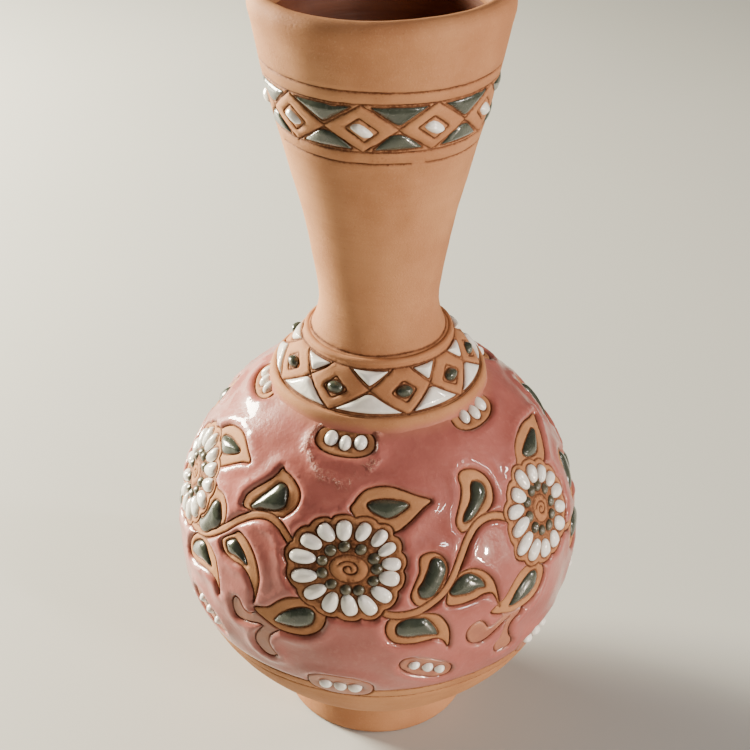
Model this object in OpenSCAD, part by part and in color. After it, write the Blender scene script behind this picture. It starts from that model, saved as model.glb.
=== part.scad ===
// Hand-thrown, hand-carved clay vase with a globe body, a carved shoulder collar and a flaring neck.
// Millimetres. The vase stands on z = 0, its axis is the z axis, and -Y faces the viewer.
// Azimuths are measured from -Y and grow towards +X. Latitudes are measured on the globe.

/* [Globe] */
// Radius of the clay globe
globe_r = 74.7; // [60:0.1:100]
// Height of the globe centre above the table
globe_z = 81.9; // [60:0.1:110]
// Latitude where the globe meets the foot
globe_low = -59.2; // [-70:0.1:-45]
// Latitude where the globe meets the collar border
globe_high = 59.3; // [45:0.1:70]
// Thickness of the clay wall
wall = 6.0; // [4:0.1:9]

/* [Foot] */
// Radius of the foot at the table
foot_r = 36.7; // [30:0.1:50]
// Radius of the hollow under the foot
foot_recess_r = 29.0; // [15:0.5:33]
// Depth of the hollow under the foot
foot_recess = 2.5; // [1:0.5:6]

/* [Collar and neck] */
// Outer radius at the bottom of the carved collar panel
panel_r1 = 36.2; // [30:0.1:45]
// Height of the bottom of the panel
panel_z1 = 150.4; // [140:0.1:160]
// Outer radius at the top of the panel
panel_r2 = 26.4; // [20:0.1:34]
// Height of the top of the panel
panel_z2 = 163.6; // [155:0.1:175]
// Inner radius of the throat
throat_r = 14.6; // [10:0.1:18]
// Height of the joint between the neck and its bead
neck_z0 = 166.3; // [160:0.1:175]
// Height of the joint between the neck and the lip
lip_z0 = 276.0; // [250:0.5:300]
// Height of the vase
total_h = 285.0; // [250:0.5:320]
// Radius at the middle of the lip roll
lip_r = 37.9; // [30:0.1:45]
// Lowest height of the painted neck band
band_z1 = 243.9; // [230:0.1:255]
// Highest height of the painted neck band
band_z2 = 259.6; // [250:0.1:270]
// Outer radius of the neck at the bottom of the band
band_r1 = 33.85; // [28:0.05:38]
// Outer radius of the neck at the top of the band
band_r2 = 37.45; // [30:0.05:42]

/* [Glaze and enamel] */
// Thickness of the pink glaze over the globe
glaze_t = 0.8; // [0.3:0.1:2]
// Height of the enamel cells over the clay
enamel_t = 1.3; // [0.5:0.1:2.5]
// Latitude of the lower edge of the pink glaze
glaze_low = -18.6; // [-30:0.1:0]
// Latitude of the upper edge of the pink glaze
glaze_high = 58.6; // [50:0.1:65]
// Number of carved diamonds round the collar
collar_count = 9; // [5:1:14]
// Number of carved diamonds round the neck band
band_count = 10; // [6:1:16]

/* [Flowers] */
// Number of flower units round the globe
flower_count = 5; // [3:1:7]
// Number of petals in a flower
petal_count = 14; // [8:1:18]
// Length of a petal
petal_l = 8.6; // [5:0.1:12]
// Width of a petal at its widest
petal_w = 5.6; // [3:0.1:8]
// Distance from the flower centre to the middle of a petal
petal_ring = 13.2; // [9:0.1:18]
// Number of green beads in a flower
bead_count = 10; // [6:1:14]
// Radius of a green bead
bead_r = 1.5; // [0.8:0.1:2.5]
// Distance from the flower centre to a bead
bead_ring = 7.5; // [5:0.1:10]
// Width of a sprig's stem
stem_w = 3.4; // [2:0.1:6]
// Radius of the bare clay ground round a flower
flower_ground_r = 19.8; // [15:0.1:26]

/* [Hidden] */
$fn = 96;
deg = globe_r * PI / 180;
foot_z1 = globe_z + globe_r * sin(globe_low);
foot_r1 = globe_r * cos(globe_low);
top_z = globe_z + globe_r * sin(globe_high);
top_r = globe_r * cos(globe_high);
inner_r = globe_r - wall;
cavity_top_r = sqrt(inner_r * inner_r - pow(top_z - globe_z, 2));
neck_wall = 6.2;

clay = [0.74, 0.50, 0.33];
pink = [0.72, 0.42, 0.39];
green = [0.30, 0.34, 0.28];
white = [0.92, 0.90, 0.87];

// Azimuth and latitude of each flower, starting at the left of the front.
flowers = [[-76, 24], [-8, 23], [58, 24], [132, 23], [208, 24]];
// Leaves as azimuth and latitude from the flower azimuth, turn, length, width and bend.
// The first two belong to the flower and the other four to the sprig on its right.
flower_leaves = [[11.4, 39.4, 4, 14.5, 5.8, 0.8], [-13.5, 6.6, 206, 14.5, 6.4, -0.8]];
sprig_leaves = [
    [40.3, 36.7, 228, 14.5, 6.6, 1.2],
    [24.0, 20.0, 66, 14.5, 5.8, -0.8],
    [33.0, 16.0, -4, 13.5, 6.2, 1.6],
    [18.4, 6.5, -6, 14.5, 6.4, 1.4]
];
// Middle line of a sprig's stem, as azimuth from the flower azimuth and latitude.
sprig_stem = [[9, 11.4], [14, 10.6], [18, 11.2], [22.5, 13.2], [27, 16.4], [30.5, 20.8],
              [33.5, 25.4], [37.5, 29.4], [42, 31.4], [46, 30.8], [49, 29.4]];

// Where a point of the globe falls on the flat drawing of a cell that stands at c.
function flat(p, c) = globe_r * [cos(p[1]) * sin(p[0] - c[0]),
    cos(c[1]) * sin(p[1]) - sin(c[1]) * cos(p[1]) * cos(p[0] - c[0])];
// The left-hand normal of a line of points at point i.
function normal_at(p, i) = let (a = p[max(i - 1, 0)], b = p[min(i + 1, len(p) - 1)], d = b - a)
    [-d[1], d[0]] / norm(d);
// A ribbon of half width h along a line of points.
function ribbon(p, h) = concat([for (i = [0 : len(p) - 1]) p[i] + h * normal_at(p, i)],
    [for (i = [len(p) - 1 : -1 : 0]) p[i] - h * normal_at(p, i)]);
// A leaf that is blunt at its left end and pointed at its right end, bent up by b.
function leaf_y(t, w) = w / 2 * pow(sin(180 * pow(t, 0.75)), 0.8);
function leaf_mid(t, l, b) = [(t - 0.5) * l, b * (1 - pow(2 * t - 1, 2))];
function leaf_points(l, w, b, n = 9) = concat(
    [for (i = [0 : n]) leaf_mid(i / n, l, b) + [0, leaf_y(i / n, w)]],
    [for (i = [n - 1 : -1 : 1]) leaf_mid(i / n, l, b) - [0, leaf_y(i / n, w)]]);
// An egg that is wider towards its right end.
function egg_points(l, w, n = 12) = [for (i = [0 : n - 1])
    [l / 2 * cos(360 * i / n), w / 2 * sin(360 * i / n) * (1 + 0.18 * cos(360 * i / n))]];

// Stands children on the globe, with +Z outwards, +X east and +Y north.
module on_globe(az, lat) {
    translate([0, 0, globe_z]) rotate([0, 0, az]) rotate([90 - lat, 0, 0]) children();
}

// A solid that follows a flat outline through the skin of the globe.
module cell(az, lat) {
    on_globe(az, lat) translate([0, 0, globe_r - 9]) linear_extrude(height = 16) children();
}

// The thin spherical layer that lies on the clay, as thick as t.
module skin(t) {
    difference() {
        translate([0, 0, globe_z]) sphere(r = globe_r + t);
        translate([0, 0, globe_z]) sphere(r = globe_r);
    }
}

module enamel_on_globe(t = enamel_t) {
    intersection() {
        union() { children(); }
        skin(t);
    }
}

module foot() {
    color(clay) difference() {
        rotate_extrude() polygon([[0, 0], [foot_r - 1.2, 0], [foot_r - 0.35, 0.35], [foot_r, 1.2],
            [foot_r - 0.3, 5], [foot_r - 0.5, 9], [foot_r + 0.1, 13], [foot_r1, foot_z1], [0, foot_z1]]);
        translate([0, 0, -1]) cylinder(r = foot_recess_r, h = foot_recess + 1);
        translate([0, 0, globe_z]) sphere(r = inner_r);
    }
}

module globe() {
    color(clay) difference() {
        intersection() {
            translate([0, 0, globe_z]) sphere(r = globe_r);
            translate([0, 0, foot_z1]) cylinder(r = globe_r + 5, h = top_z - foot_z1);
        }
        translate([0, 0, globe_z]) sphere(r = inner_r);
    }
}

module collar() {
    color(clay) rotate_extrude() polygon([[cavity_top_r, top_z], [panel_r1, top_z], [panel_r1, panel_z1],
        [panel_r2, panel_z2], [throat_r + 0.8, panel_z2], [throat_r + 3.2, panel_z1 + 4]]);
}

module collar_border() {
    color(clay) rotate_extrude() polygon([[panel_r1, top_z], [top_r, top_z], [top_r + 0.8, top_z + 0.7],
        [top_r + 1.1, top_z + 1.8], [top_r + 0.7, top_z + 2.9], [top_r - 0.3, top_z + 3.7],
        [panel_r1 + 0.4, top_z + 3.8], [panel_r1, panel_z1]]);
}

module neck_bead() {
    color(clay) rotate_extrude() polygon([[throat_r + 0.8, panel_z2], [panel_r2, panel_z2],
        [panel_r2 + 0.6, panel_z2 + 0.6], [panel_r2 + 0.5, panel_z2 + 1.4], [panel_r2 - 0.3, panel_z2 + 2.2],
        [panel_r2 - 1.4, neck_z0], [throat_r + 0.3, neck_z0]]);
}

module neck() {
    color(clay) difference() {
        rotate_extrude() polygon([[0, neck_z0], [23.9, neck_z0], [21.8, 171], [20.9, 176], [20.95, 181],
            [21.6, 186], [23.2, 196], [24.9, 206], [27.0, 216], [29.3, 225.6], [31.7, 235.5],
            [band_r1, band_z1], [band_r2, band_z2], [38.5, 265], [39.5, 270], [40.5, lip_z0], [0, lip_z0]]);
        rotate_extrude() polygon([[0, neck_z0 - 1], [throat_r + 0.3, neck_z0 - 1], [throat_r + 0.3, neck_z0],
            [throat_r, 176], [throat_r + 0.6, 186], [throat_r + 3.6, 206], [throat_r + 8.2, 225.6],
            [throat_r + 13.4, 245], [throat_r + 17.6, 262], [34.3, lip_z0], [34.3, lip_z0 + 1], [0, lip_z0 + 1]]);
    }
}

module lip() {
    color(clay) rotate_extrude() polygon(concat([[34.3, lip_z0], [40.5, lip_z0]],
        [for (a = [0 : 15 : 180]) [lip_r + 3.6 * cos(a), total_h - 4.6 + 4.6 * sin(a)]]));
}

// Bare clay ground of a flower with its two leaves, as prisms through the skin.
module flower_ground(f) {
    cell(f[0], f[1]) circle(r = flower_ground_r);
    for (l = flower_leaves) cell(f[0] + l[0], l[1]) rotate(l[2])
        polygon(leaf_points(l[3] + 9, l[4] + 6, l[5]));
}

module sprig_ground(f) {
    for (l = sprig_leaves) cell(f[0] + l[0], l[1]) rotate(l[2])
        polygon(leaf_points(l[3] + 6, l[4] + 5, l[5]));
    cell(f[0] + 29, 21) polygon(ribbon([for (p = sprig_stem) flat(p, [29, 21])], stem_w / 2));
}

module pill_ground(l, w) {
    polygon(egg_points(l, w, 14));
}

module pink_glaze() {
    z1 = globe_z + globe_r * sin(glaze_low);
    z2 = globe_z + globe_r * sin(glaze_high);
    color(pink) difference() {
        intersection() {
            skin(glaze_t);
            translate([0, 0, z1]) cylinder(r = globe_r + 5, h = z2 - z1);
        }
        for (f = flowers) {
            flower_ground(f);
            sprig_ground(f);
            cell(f[0] - 6.8, 56.5) pill_ground(19, 9);
            cell(f[0] + 21, -8.5) rotate(-27) pill_ground(19, 10);
            cell(f[0] - 2.5, -17.5) pill_ground(24, 13);
        }
    }
}

// A ring of small prisms pointing outwards from the axis, through any surface of the vase.
module around(count, start) {
    for (i = [0 : count - 1]) rotate([0, 0, start + 360 * i / count])
        rotate([90, 0, 0]) linear_extrude(height = 60) children();
}

module panel_skin() {
    difference() {
        translate([0, 0, panel_z1]) cylinder(r1 = panel_r1 + 1.4, r2 = panel_r2 + 1.4, h = panel_z2 - panel_z1);
        translate([0, 0, panel_z1]) cylinder(r1 = panel_r1, r2 = panel_r2, h = panel_z2 - panel_z1);
    }
}

module band_skin() {
    difference() {
        translate([0, 0, band_z1]) cylinder(r1 = band_r1 + 1, r2 = band_r2 + 1, h = band_z2 - band_z1);
        translate([0, 0, band_z1]) cylinder(r1 = band_r1, r2 = band_r2, h = band_z2 - band_z1);
    }
}

module collar_white_upper() {
    color(white) intersection() {
        panel_skin();
        around(collar_count, -8) polygon([[-5.4, panel_z2 - 0.9], [0, panel_z1 + 6.6], [5.4, panel_z2 - 0.9]]);
    }
}

module collar_white_lower() {
    color(white) intersection() {
        panel_skin();
        around(collar_count, -8) polygon([[-9, panel_z1 + 0.5], [9, panel_z1 + 0.5], [0.8, panel_z1 + 5],
            [-0.8, panel_z1 + 5]]);
    }
}

module collar_green_studs() {
    color(green) intersection() {
        panel_skin();
        around(collar_count, -28) translate([0, panel_z1 + 6.2]) polygon([[-3, 0], [0, -3.2], [3, 0], [0, 3.2]]);
    }
}

module neck_green_upper() {
    color(green) intersection() {
        band_skin();
        around(band_count, 9) polygon([[-8, band_z2 - 0.7], [-1, band_z1 + 9], [1, band_z1 + 9], [8, band_z2 - 0.7]]);
    }
}

module neck_green_lower() {
    color(green) intersection() {
        band_skin();
        around(band_count, 9) polygon([[-8, band_z1 + 0.7], [-2, band_z1 + 5.6], [2, band_z1 + 5.6], [8, band_z1 + 0.7]]);
    }
}

module neck_white_diamonds() {
    color(white) intersection() {
        band_skin();
        around(band_count, 27) translate([0, 251.3]) polygon([[-3.3, 0.6], [0.2, -2.6], [3.3, -0.6], [-0.2, 2.6]]);
    }
}

module flower_petals(f) {
    color(white) enamel_on_globe() cell(f[0], f[1]) for (i = [0 : petal_count - 1])
        rotate(360 * (i + 0.5) / petal_count) translate([petal_ring, 0]) polygon(egg_points(petal_l, petal_w));
}

module flower_beads(f) {
    color(green) enamel_on_globe(enamel_t + 0.2) cell(f[0], f[1]) for (i = [0 : bead_count - 1])
        rotate(360 * i / bead_count) translate([bead_ring, 0]) circle(r = bead_r, $fn = 10);
}

module enamel_leaves(f, leaves) {
    color(green) enamel_on_globe() for (l = leaves) cell(f[0] + l[0], l[1]) rotate(l[2])
        polygon(leaf_points(l[3], l[4], l[5]));
}

module flower_1_petals() { flower_petals(flowers[0]); }
module flower_2_petals() { flower_petals(flowers[1]); }
module flower_3_petals() { flower_petals(flowers[2]); }
module flower_4_petals() { flower_petals(flowers[3]); }
module flower_5_petals() { flower_petals(flowers[4]); }
module flower_1_beads() { flower_beads(flowers[0]); }
module flower_2_beads() { flower_beads(flowers[1]); }
module flower_3_beads() { flower_beads(flowers[2]); }
module flower_4_beads() { flower_beads(flowers[3]); }
module flower_5_beads() { flower_beads(flowers[4]); }
module flower_1_leaves() { enamel_leaves(flowers[0], flower_leaves); }
module flower_2_leaves() { enamel_leaves(flowers[1], flower_leaves); }
module flower_3_leaves() { enamel_leaves(flowers[2], flower_leaves); }
module flower_4_leaves() { enamel_leaves(flowers[3], flower_leaves); }
module flower_5_leaves() { enamel_leaves(flowers[4], flower_leaves); }
module sprig_1_leaves() { enamel_leaves(flowers[0], sprig_leaves); }
module sprig_2_leaves() { enamel_leaves(flowers[1], sprig_leaves); }
module sprig_3_leaves() { enamel_leaves(flowers[2], sprig_leaves); }
module sprig_4_leaves() { enamel_leaves(flowers[3], sprig_leaves); }
module sprig_5_leaves() { enamel_leaves(flowers[4], sprig_leaves); }

// Three white dots in a row, spaced by gap, with a fall of drop from one to the next.
module dots(gap, drop, l, w) {
    for (i = [-1 : 1]) translate([gap * i, -drop * i]) rotate(90) polygon(egg_points(l, w, 10));
}

module shoulder_pill_dots() {
    color(white) enamel_on_globe() for (f = flowers) cell(f[0] - 6.8, 56.2) dots(4.7, 0, 4.2, 3.6);
}

module waist_pill_dots() {
    color(white) enamel_on_globe() for (f = flowers) cell(f[0] + 21.6, -8.4) dots(4.8, 2.3, 3.8, 3.4);
}

module hem_pill_dots() {
    color(white) enamel_on_globe() for (f = flowers) cell(f[0] - 2.2, -17.8) dots(5.4, 0, 5.2, 3.9);
}

foot();
globe();
collar();
collar_border();
neck_bead();
neck();
lip();
pink_glaze();
collar_white_upper();
collar_white_lower();
collar_green_studs();
neck_green_upper();
neck_green_lower();
neck_white_diamonds();
flower_1_petals();
flower_2_petals();
flower_3_petals();
flower_4_petals();
flower_5_petals();
flower_1_beads();
flower_2_beads();
flower_3_beads();
flower_4_beads();
flower_5_beads();
flower_1_leaves();
flower_2_leaves();
flower_3_leaves();
flower_4_leaves();
flower_5_leaves();
sprig_1_leaves();
sprig_2_leaves();
sprig_3_leaves();
sprig_4_leaves();
sprig_5_leaves();
shoulder_pill_dots();
waist_pill_dots();
hem_pill_dots();
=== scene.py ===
"""A hand-thrown clay vase, carved and filled with glossy enamel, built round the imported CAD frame.

Lengths are in millimetres until a mesh is made, and angles are in degrees. Azimuth 0 faces the camera
(-Y) and grows towards +X. Each carved surface is drawn flat on a chart, triangulated there with rows of
points along its cut lines, and then wrapped round the vase.
"""

import math

import bpy
import numpy as np
from mathutils import Matrix, Vector
from mathutils.geometry import delaunay_2d_cdt
from mathutils.kdtree import KDTree


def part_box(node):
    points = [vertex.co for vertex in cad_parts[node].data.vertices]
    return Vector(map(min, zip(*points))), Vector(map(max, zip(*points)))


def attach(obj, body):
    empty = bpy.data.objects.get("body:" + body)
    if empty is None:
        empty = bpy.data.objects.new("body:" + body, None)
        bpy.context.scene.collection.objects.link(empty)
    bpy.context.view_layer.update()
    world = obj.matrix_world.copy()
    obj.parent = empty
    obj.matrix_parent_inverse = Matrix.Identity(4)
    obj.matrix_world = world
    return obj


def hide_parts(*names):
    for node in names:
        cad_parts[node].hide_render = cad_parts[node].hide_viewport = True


MM = 0.001
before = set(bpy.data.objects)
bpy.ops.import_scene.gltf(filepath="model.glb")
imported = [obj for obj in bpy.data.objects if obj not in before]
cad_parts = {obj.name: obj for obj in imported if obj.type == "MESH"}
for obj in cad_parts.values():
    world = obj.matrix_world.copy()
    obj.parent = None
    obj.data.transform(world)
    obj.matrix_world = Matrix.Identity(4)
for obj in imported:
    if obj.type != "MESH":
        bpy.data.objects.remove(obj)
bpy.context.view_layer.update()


# ---------------------------------------------------------------- sizes

def node_box(name):
    """A CAD node's lowest and highest corner in millimetres."""
    low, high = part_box(name)
    return np.array(low) / MM, np.array(high) / MM


GLOBE_LOW, GLOBE_HIGH = node_box("globe")
GLOBE_R = (GLOBE_HIGH[0] - GLOBE_LOW[0]) / 2
FOOT_JOINT_LAT = -59.2
COLLAR_JOINT_LAT = 59.3
GLOBE_Z = GLOBE_LOW[2] + GLOBE_R * math.sin(math.radians(-FOOT_JOINT_LAT))
TOTAL_H = node_box("lip")[1][2]

HEM_LAT = -18.6                    # lower edge of the pink glaze
HEM_LINE_LAT = -22.4               # second turned line under it
CUT_DEPTH = 0.56                   # depth of an incised line
CUT_HALF = 0.48                    # half the width of an incised line
ROW_OFFSETS = (0.25, 0.52, 1.05)   # rows of points beside a cut line
CUT_STEP = 0.42                    # spacing of the points along a cut line
FINE_STEP = 0.4                    # the same for small outlines
POINT_GAP = 0.2                    # size of the cells that hold one point each
FAR_FROM_CUT = 3.0                 # the largest distance to a cut that a material is told

CRAWL_GLINT_CENTRE = np.array([-11.4, -42.6, 142.6])   # where the glaze has crawled into a raised ring beside a shoulder pill; its grains are painted lighter, partly as painted highlight
CRAWL_GLINT_R = 11.5


# ---------------------------------------------------------------- small numeric tools

rng = np.random.default_rng(1946)


def wave_field(count, shortest, longest, seed):
    """A smooth field over space, from -1 to 1 or so, as a sum of plane waves of those wavelengths."""
    source = np.random.default_rng(seed)
    ways = source.normal(size=(count, 3))
    ways /= np.linalg.norm(ways, axis=1)[:, None]
    waves = 2 * math.pi / source.uniform(shortest, longest, count)
    phases = source.uniform(0, 2 * math.pi, count)

    def field(points):
        return np.sin(points @ (ways * waves[:, None]).T + phases).sum(1) / math.sqrt(count)

    return field


throwing = wave_field(9, 45, 110, 3)      # the slow unevenness of a hand-thrown wall
glaze_swell = wave_field(16, 16, 34, 5)   # undulation of the thick glaze
glaze_ripple = wave_field(24, 4, 9, 6)
clay_dent = wave_field(24, 6, 16, 7)
cut_strength = wave_field(24, 3, 9, 8)    # how hard the tool was pressed


def smoothstep(low, high, value):
    t = np.clip((value - low) / (high - low), 0, 1)
    return t * t * (3 - 2 * t)


def spline(points, closed=True, per_span=12):
    """Catmull-Rom curve through the points."""
    p = np.asarray(points, float)
    if closed:
        p = np.vstack([p[-1], p, p[:2]])
    else:
        p = np.vstack([2 * p[0] - p[1], p, 2 * p[-1] - p[-2]])
    t = np.linspace(0, 1, per_span, endpoint=False)[:, None]
    spans = []
    for a, b, c, d in zip(p[:-3], p[1:-2], p[2:-1], p[3:]):
        spans.append(0.5 * (2 * b + (c - a) * t + (2 * a - 5 * b + 4 * c - d) * t**2
                            + (3 * b - a - 3 * c + d) * t**3))
    curve = np.vstack(spans)
    return curve if closed else np.vstack([curve, p[-2]])


def inside(points, outline):
    """Which points lie in a closed outline, both on the chart."""
    found = np.zeros(len(points), bool)
    low, high = outline.min(0), outline.max(0)
    near = np.where(((points >= low) & (points <= high)).all(1))[0]
    if not len(near):
        return found
    x, y = points[near, 0][:, None], points[near, 1][:, None]
    ax, ay = outline[:, 0][None], outline[:, 1][None]
    bx, by = np.roll(ax, -1), np.roll(ay, -1)
    spans = (ay > y) != (by > y)
    rise = np.where(by == ay, 1e-9, by - ay)
    crossings = spans & (x < (bx - ax) * (y - ay) / rise + ax)
    found[near] = crossings.sum(1) % 2 == 1
    return found


# ---------------------------------------------------------------- charts

class GlobeChart:
    """The globe laid flat: x is azimuth and y latitude, both as lengths on the equator."""

    per_degree = math.pi / 180 * GLOBE_R
    turn = 360 * per_degree

    def flat(self, points):
        return np.asarray(points, float) * self.per_degree

    def squeeze(self, y):
        """The true length of a step of one along x, at height y on the chart."""
        return np.cos(y / GLOBE_R)

    def wrap(self, p, h=0.0):
        az, lat = p[:, 0] / GLOBE_R, p[:, 1] / GLOBE_R
        r = GLOBE_R + h
        return np.stack([r * np.cos(lat) * np.sin(az), -r * np.cos(lat) * np.cos(az),
                         GLOBE_Z + r * np.sin(lat)], 1)


class TurnedChart:
    """A turned wall laid flat: x is azimuth and y the length along its outline from the bottom."""

    def __init__(self, profile):
        self.rz = np.asarray(profile, float)
        self.s = np.r_[0, np.cumsum(np.hypot(*np.diff(self.rz, axis=0).T))]
        self.reach = self.s[-1]
        self.middle_r = self.rz[:, 0].mean()
        self.per_degree = math.pi / 180 * self.middle_r
        self.turn = 360 * self.per_degree

    def at_height(self, z):
        return np.interp(z, self.rz[:, 1], self.s)

    def flat(self, points):
        """Azimuth and height to the chart."""
        p = np.asarray(points, float)
        return np.stack([p[:, 0] * self.per_degree, self.at_height(p[:, 1])], 1)

    def squeeze(self, y):
        return np.interp(y, self.s, self.rz[:, 0]) / self.middle_r

    def wrap(self, p, h=0.0):
        az, s = p[:, 0] / self.middle_r, p[:, 1]
        r = np.interp(s, self.s, self.rz[:, 0])
        z = np.interp(s, self.s, self.rz[:, 1])
        step = 0.6
        dr = np.interp(s + step, self.s, self.rz[:, 0]) - np.interp(s - step, self.s, self.rz[:, 0])
        dz = np.interp(s + step, self.s, self.rz[:, 1]) - np.interp(s - step, self.s, self.rz[:, 1])
        size = np.hypot(dr, dz)
        r = r + h * dz / size
        z = z - h * dr / size
        return np.stack([r * np.sin(az), -r * np.cos(az), z], 1)


def true_steps(chart, curve, closed):
    """The true length of each step of a curve on a chart."""
    nxt = np.roll(curve, -1, axis=0) if closed else curve[1:]
    here = curve if closed else curve[:-1]
    mid = (here + nxt) / 2
    d = nxt - here
    return np.hypot(d[:, 0] * chart.squeeze(mid[:, 1]), d[:, 1])


def resample(chart, curve, step, closed=True):
    """Points at even true spacing along a curve."""
    lengths = true_steps(chart, curve, closed)
    s = np.r_[0, np.cumsum(lengths)]
    path = np.vstack([curve, curve[:1]]) if closed else curve
    n = max(int(round(s[-1] / step)), 6 if closed else 2)
    t = np.linspace(0, s[-1], n, endpoint=not closed)
    return np.stack([np.interp(t, s, path[:, 0]), np.interp(t, s, path[:, 1])], 1)


def offset(chart, curve, distance, closed=True):
    """A curve moved sideways by a true distance, to its left if that is positive."""
    if closed:
        d = np.roll(curve, -1, axis=0) - np.roll(curve, 1, axis=0)
    else:
        d = np.gradient(curve, axis=0)
    k = chart.squeeze(curve[:, 1])
    dx, dy = d[:, 0] * k, d[:, 1]
    size = np.maximum(np.hypot(dx, dy), 1e-9)
    return curve + distance * np.stack([-dy / size / k, dx / size], 1)


def ribbon(chart, middle, half_width):
    """The closed outline of a strip round a middle line, with rounded ends left blunt."""
    line = resample(chart, middle, 0.8, closed=False)
    return np.vstack([offset(chart, line, -half_width, False), offset(chart, line, half_width, False)[::-1]])


# ---------------------------------------------------------------- carved surfaces

class Carving:
    """A chart with its cut lines and its grounds, which are areas of bare clay inside the glaze."""

    def __init__(self, chart, low, high):
        self.chart, self.low, self.high = chart, low, high
        self.grounds = []   # (piece name, outline)
        self.lines = []     # (curve, closed, rows beside it)

    def ground(self, piece, outline, hidden_by=()):
        """An area of bare clay with a cut round it, left out where another area lies over it."""
        outline = resample(self.chart, outline, FINE_STEP)
        self.grounds.append((piece, outline))
        self.cut(outline, True, hidden_by=hidden_by)

    def cut(self, curve, closed=True, hidden_by=(), rows=3, step=CUT_STEP):
        curve = resample(self.chart, curve, step, closed)
        keep = np.ones(len(curve), bool)
        for other in hidden_by:
            keep &= ~inside(curve, other)
        self.lines.append((curve, closed, rows, keep))

    def triangulate(self, coarse):
        """Points with rows along every cut, their triangles, and a tree for distances to the nearest cut."""
        chart = self.chart
        dense, rows = [], {0: []}
        for curve, closed, count, keep in self.lines:
            dense.append(resample_kept(curve, closed, keep))
            rows[0].append(curve[keep])
            for row in range(1, count + 1):
                for side in (-1, 1):
                    shifted = offset(chart, curve, side * ROW_OFFSETS[row - 1], closed)[keep]
                    rows.setdefault(row, []).append(shifted[:: 1 if row < 3 else 2])
        tree = self.tree(np.vstack(dense))
        accepted = [self.edge_points(coarse), self.seam_points()]
        taken = Occupied(chart, POINT_GAP)
        for points in accepted:
            taken.add(points)
        for row in sorted(rows):
            points = self.turned(np.vstack(rows[row]))
            points = points[self.well_inside(points, above=0.3, beside=0.2)]
            if row:
                points = points[self.distances(tree, points) > 0.72 * ROW_OFFSETS[row - 1]]
            accepted.append(taken.thin(points))
        beside = ROW_OFFSETS[2] + 0.45 * coarse
        grid = self.hex_grid(coarse)
        accepted.append(grid[self.distances(tree, grid) > beside])
        middle = self.hex_grid(coarse * 0.5)
        far = self.distances(tree, middle)
        accepted.append(middle[(far > ROW_OFFSETS[2] * 1.25) & (far <= beside)])
        return self.join(np.vstack(accepted)), tree

    def well_inside(self, points, above, beside):
        """Which points are away from the upper and lower edge and from the seam at the back."""
        x, y = np.abs(points[:, 0]), points[:, 1]
        return (y > self.low + above) & (y < self.high - above) & (x < self.chart.turn / 2 - beside)

    def tree(self, dense):
        where = self.chart.wrap(self.turned(dense))
        tree = KDTree(len(where))
        for i, p in enumerate(where):
            tree.insert(p, i)
        tree.balance()
        return tree

    def distances(self, tree, points):
        return np.array([tree.find(p)[2] for p in self.chart.wrap(points)])

    def turned(self, points):
        """The same places with x inside one turn."""
        half = self.chart.turn / 2
        out = points.copy()
        out[:, 0] = (out[:, 0] + half) % self.chart.turn - half
        return out

    def edge_points(self, coarse):
        count = 2 * int(self.chart.turn / coarse / 2)
        x = (np.arange(count) / count - 0.5) * self.chart.turn
        return np.vstack([np.stack([x, np.full(count, y)], 1) for y in (self.low, self.high)])

    def seam_points(self):
        """The column of points where the chart closes, at the back."""
        y = np.linspace(self.low, self.high, int((self.high - self.low) / 0.45))[1:-1]
        return np.stack([np.full(len(y), -self.chart.turn / 2), y], 1)

    def hex_grid(self, pitch):
        rise = pitch * math.sqrt(3) / 2
        levels = int((self.high - self.low - 0.8 * pitch) / rise)
        rows = []
        for i in range(levels):
            y = self.low + 0.6 * pitch + i * rise
            count = max(int(self.chart.turn * float(self.chart.squeeze(np.array(y))) / pitch), 24)
            x = ((np.arange(count) + 0.5 * (i % 2)) / count - 0.5) * self.chart.turn
            rows.append(np.stack([x, np.full(count, y)], 1))
        points = np.vstack(rows)
        return points[self.well_inside(points, above=0.0, beside=0.25 * pitch)]

    def join(self, points):
        """Triangulates the chart, with its left column repeated on the right and then sewn to it."""
        turn = self.chart.turn
        index = np.arange(len(points))
        seam = points[:, 0] <= -turn / 2
        spread = np.vstack([points, points[seam] + [turn, 0]])
        owner = np.r_[index, index[seam]]
        out = delaunay_2d_cdt([Vector(p) for p in spread], [], [], 0, 1e-5, True)
        origin = np.array([owner[ids[0]] for ids in out[3]])
        where = np.array([tuple(v) for v in out[0]])
        tris = np.array([f for f in out[2] if len(f) == 3])
        return points, origin[tris], where[tris].mean(1)


def resample_kept(curve, closed, keep):
    """Close samples along the kept parts of a cut, for measuring distances to it."""
    ends = np.roll(curve, -1, axis=0) if closed else np.vstack([curve[1:], curve[-1:]])
    both = keep & (np.roll(keep, -1) if closed else np.r_[keep[1:], keep[-1:]])
    t = np.array([0, 0.25, 0.5, 0.75])[None, :, None]
    return (curve[both][:, None] * (1 - t) + ends[both][:, None] * t).reshape(-1, 2)


class Occupied:
    """Keeps points apart by refusing any that falls beside one already taken."""

    def __init__(self, chart, gap):
        self.chart, self.gap, self.cells = chart, gap, set()

    def keys(self, points):
        k = self.chart.squeeze(points[:, 1])
        rows = np.floor(points[:, 1] / self.gap).astype(int)
        columns = np.floor(points[:, 0] * np.round(k, 2) / self.gap).astype(int)
        return list(zip(columns.tolist(), rows.tolist()))

    def add(self, points):
        self.cells.update(self.keys(points))

    def thin(self, points):
        kept = []
        for i, (cx, cy) in enumerate(self.keys(points)):
            if (cx, cy) in self.cells:
                continue
            self.cells.add((cx, cy))
            kept.append(i)
        return points[kept]


# ---------------------------------------------------------------- meshes and pieces

def in_scene(name, data):
    """A new object in the scene that shows some data."""
    made = bpy.data.objects.new(name, data)
    bpy.context.scene.collection.objects.link(made)
    return made


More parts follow.
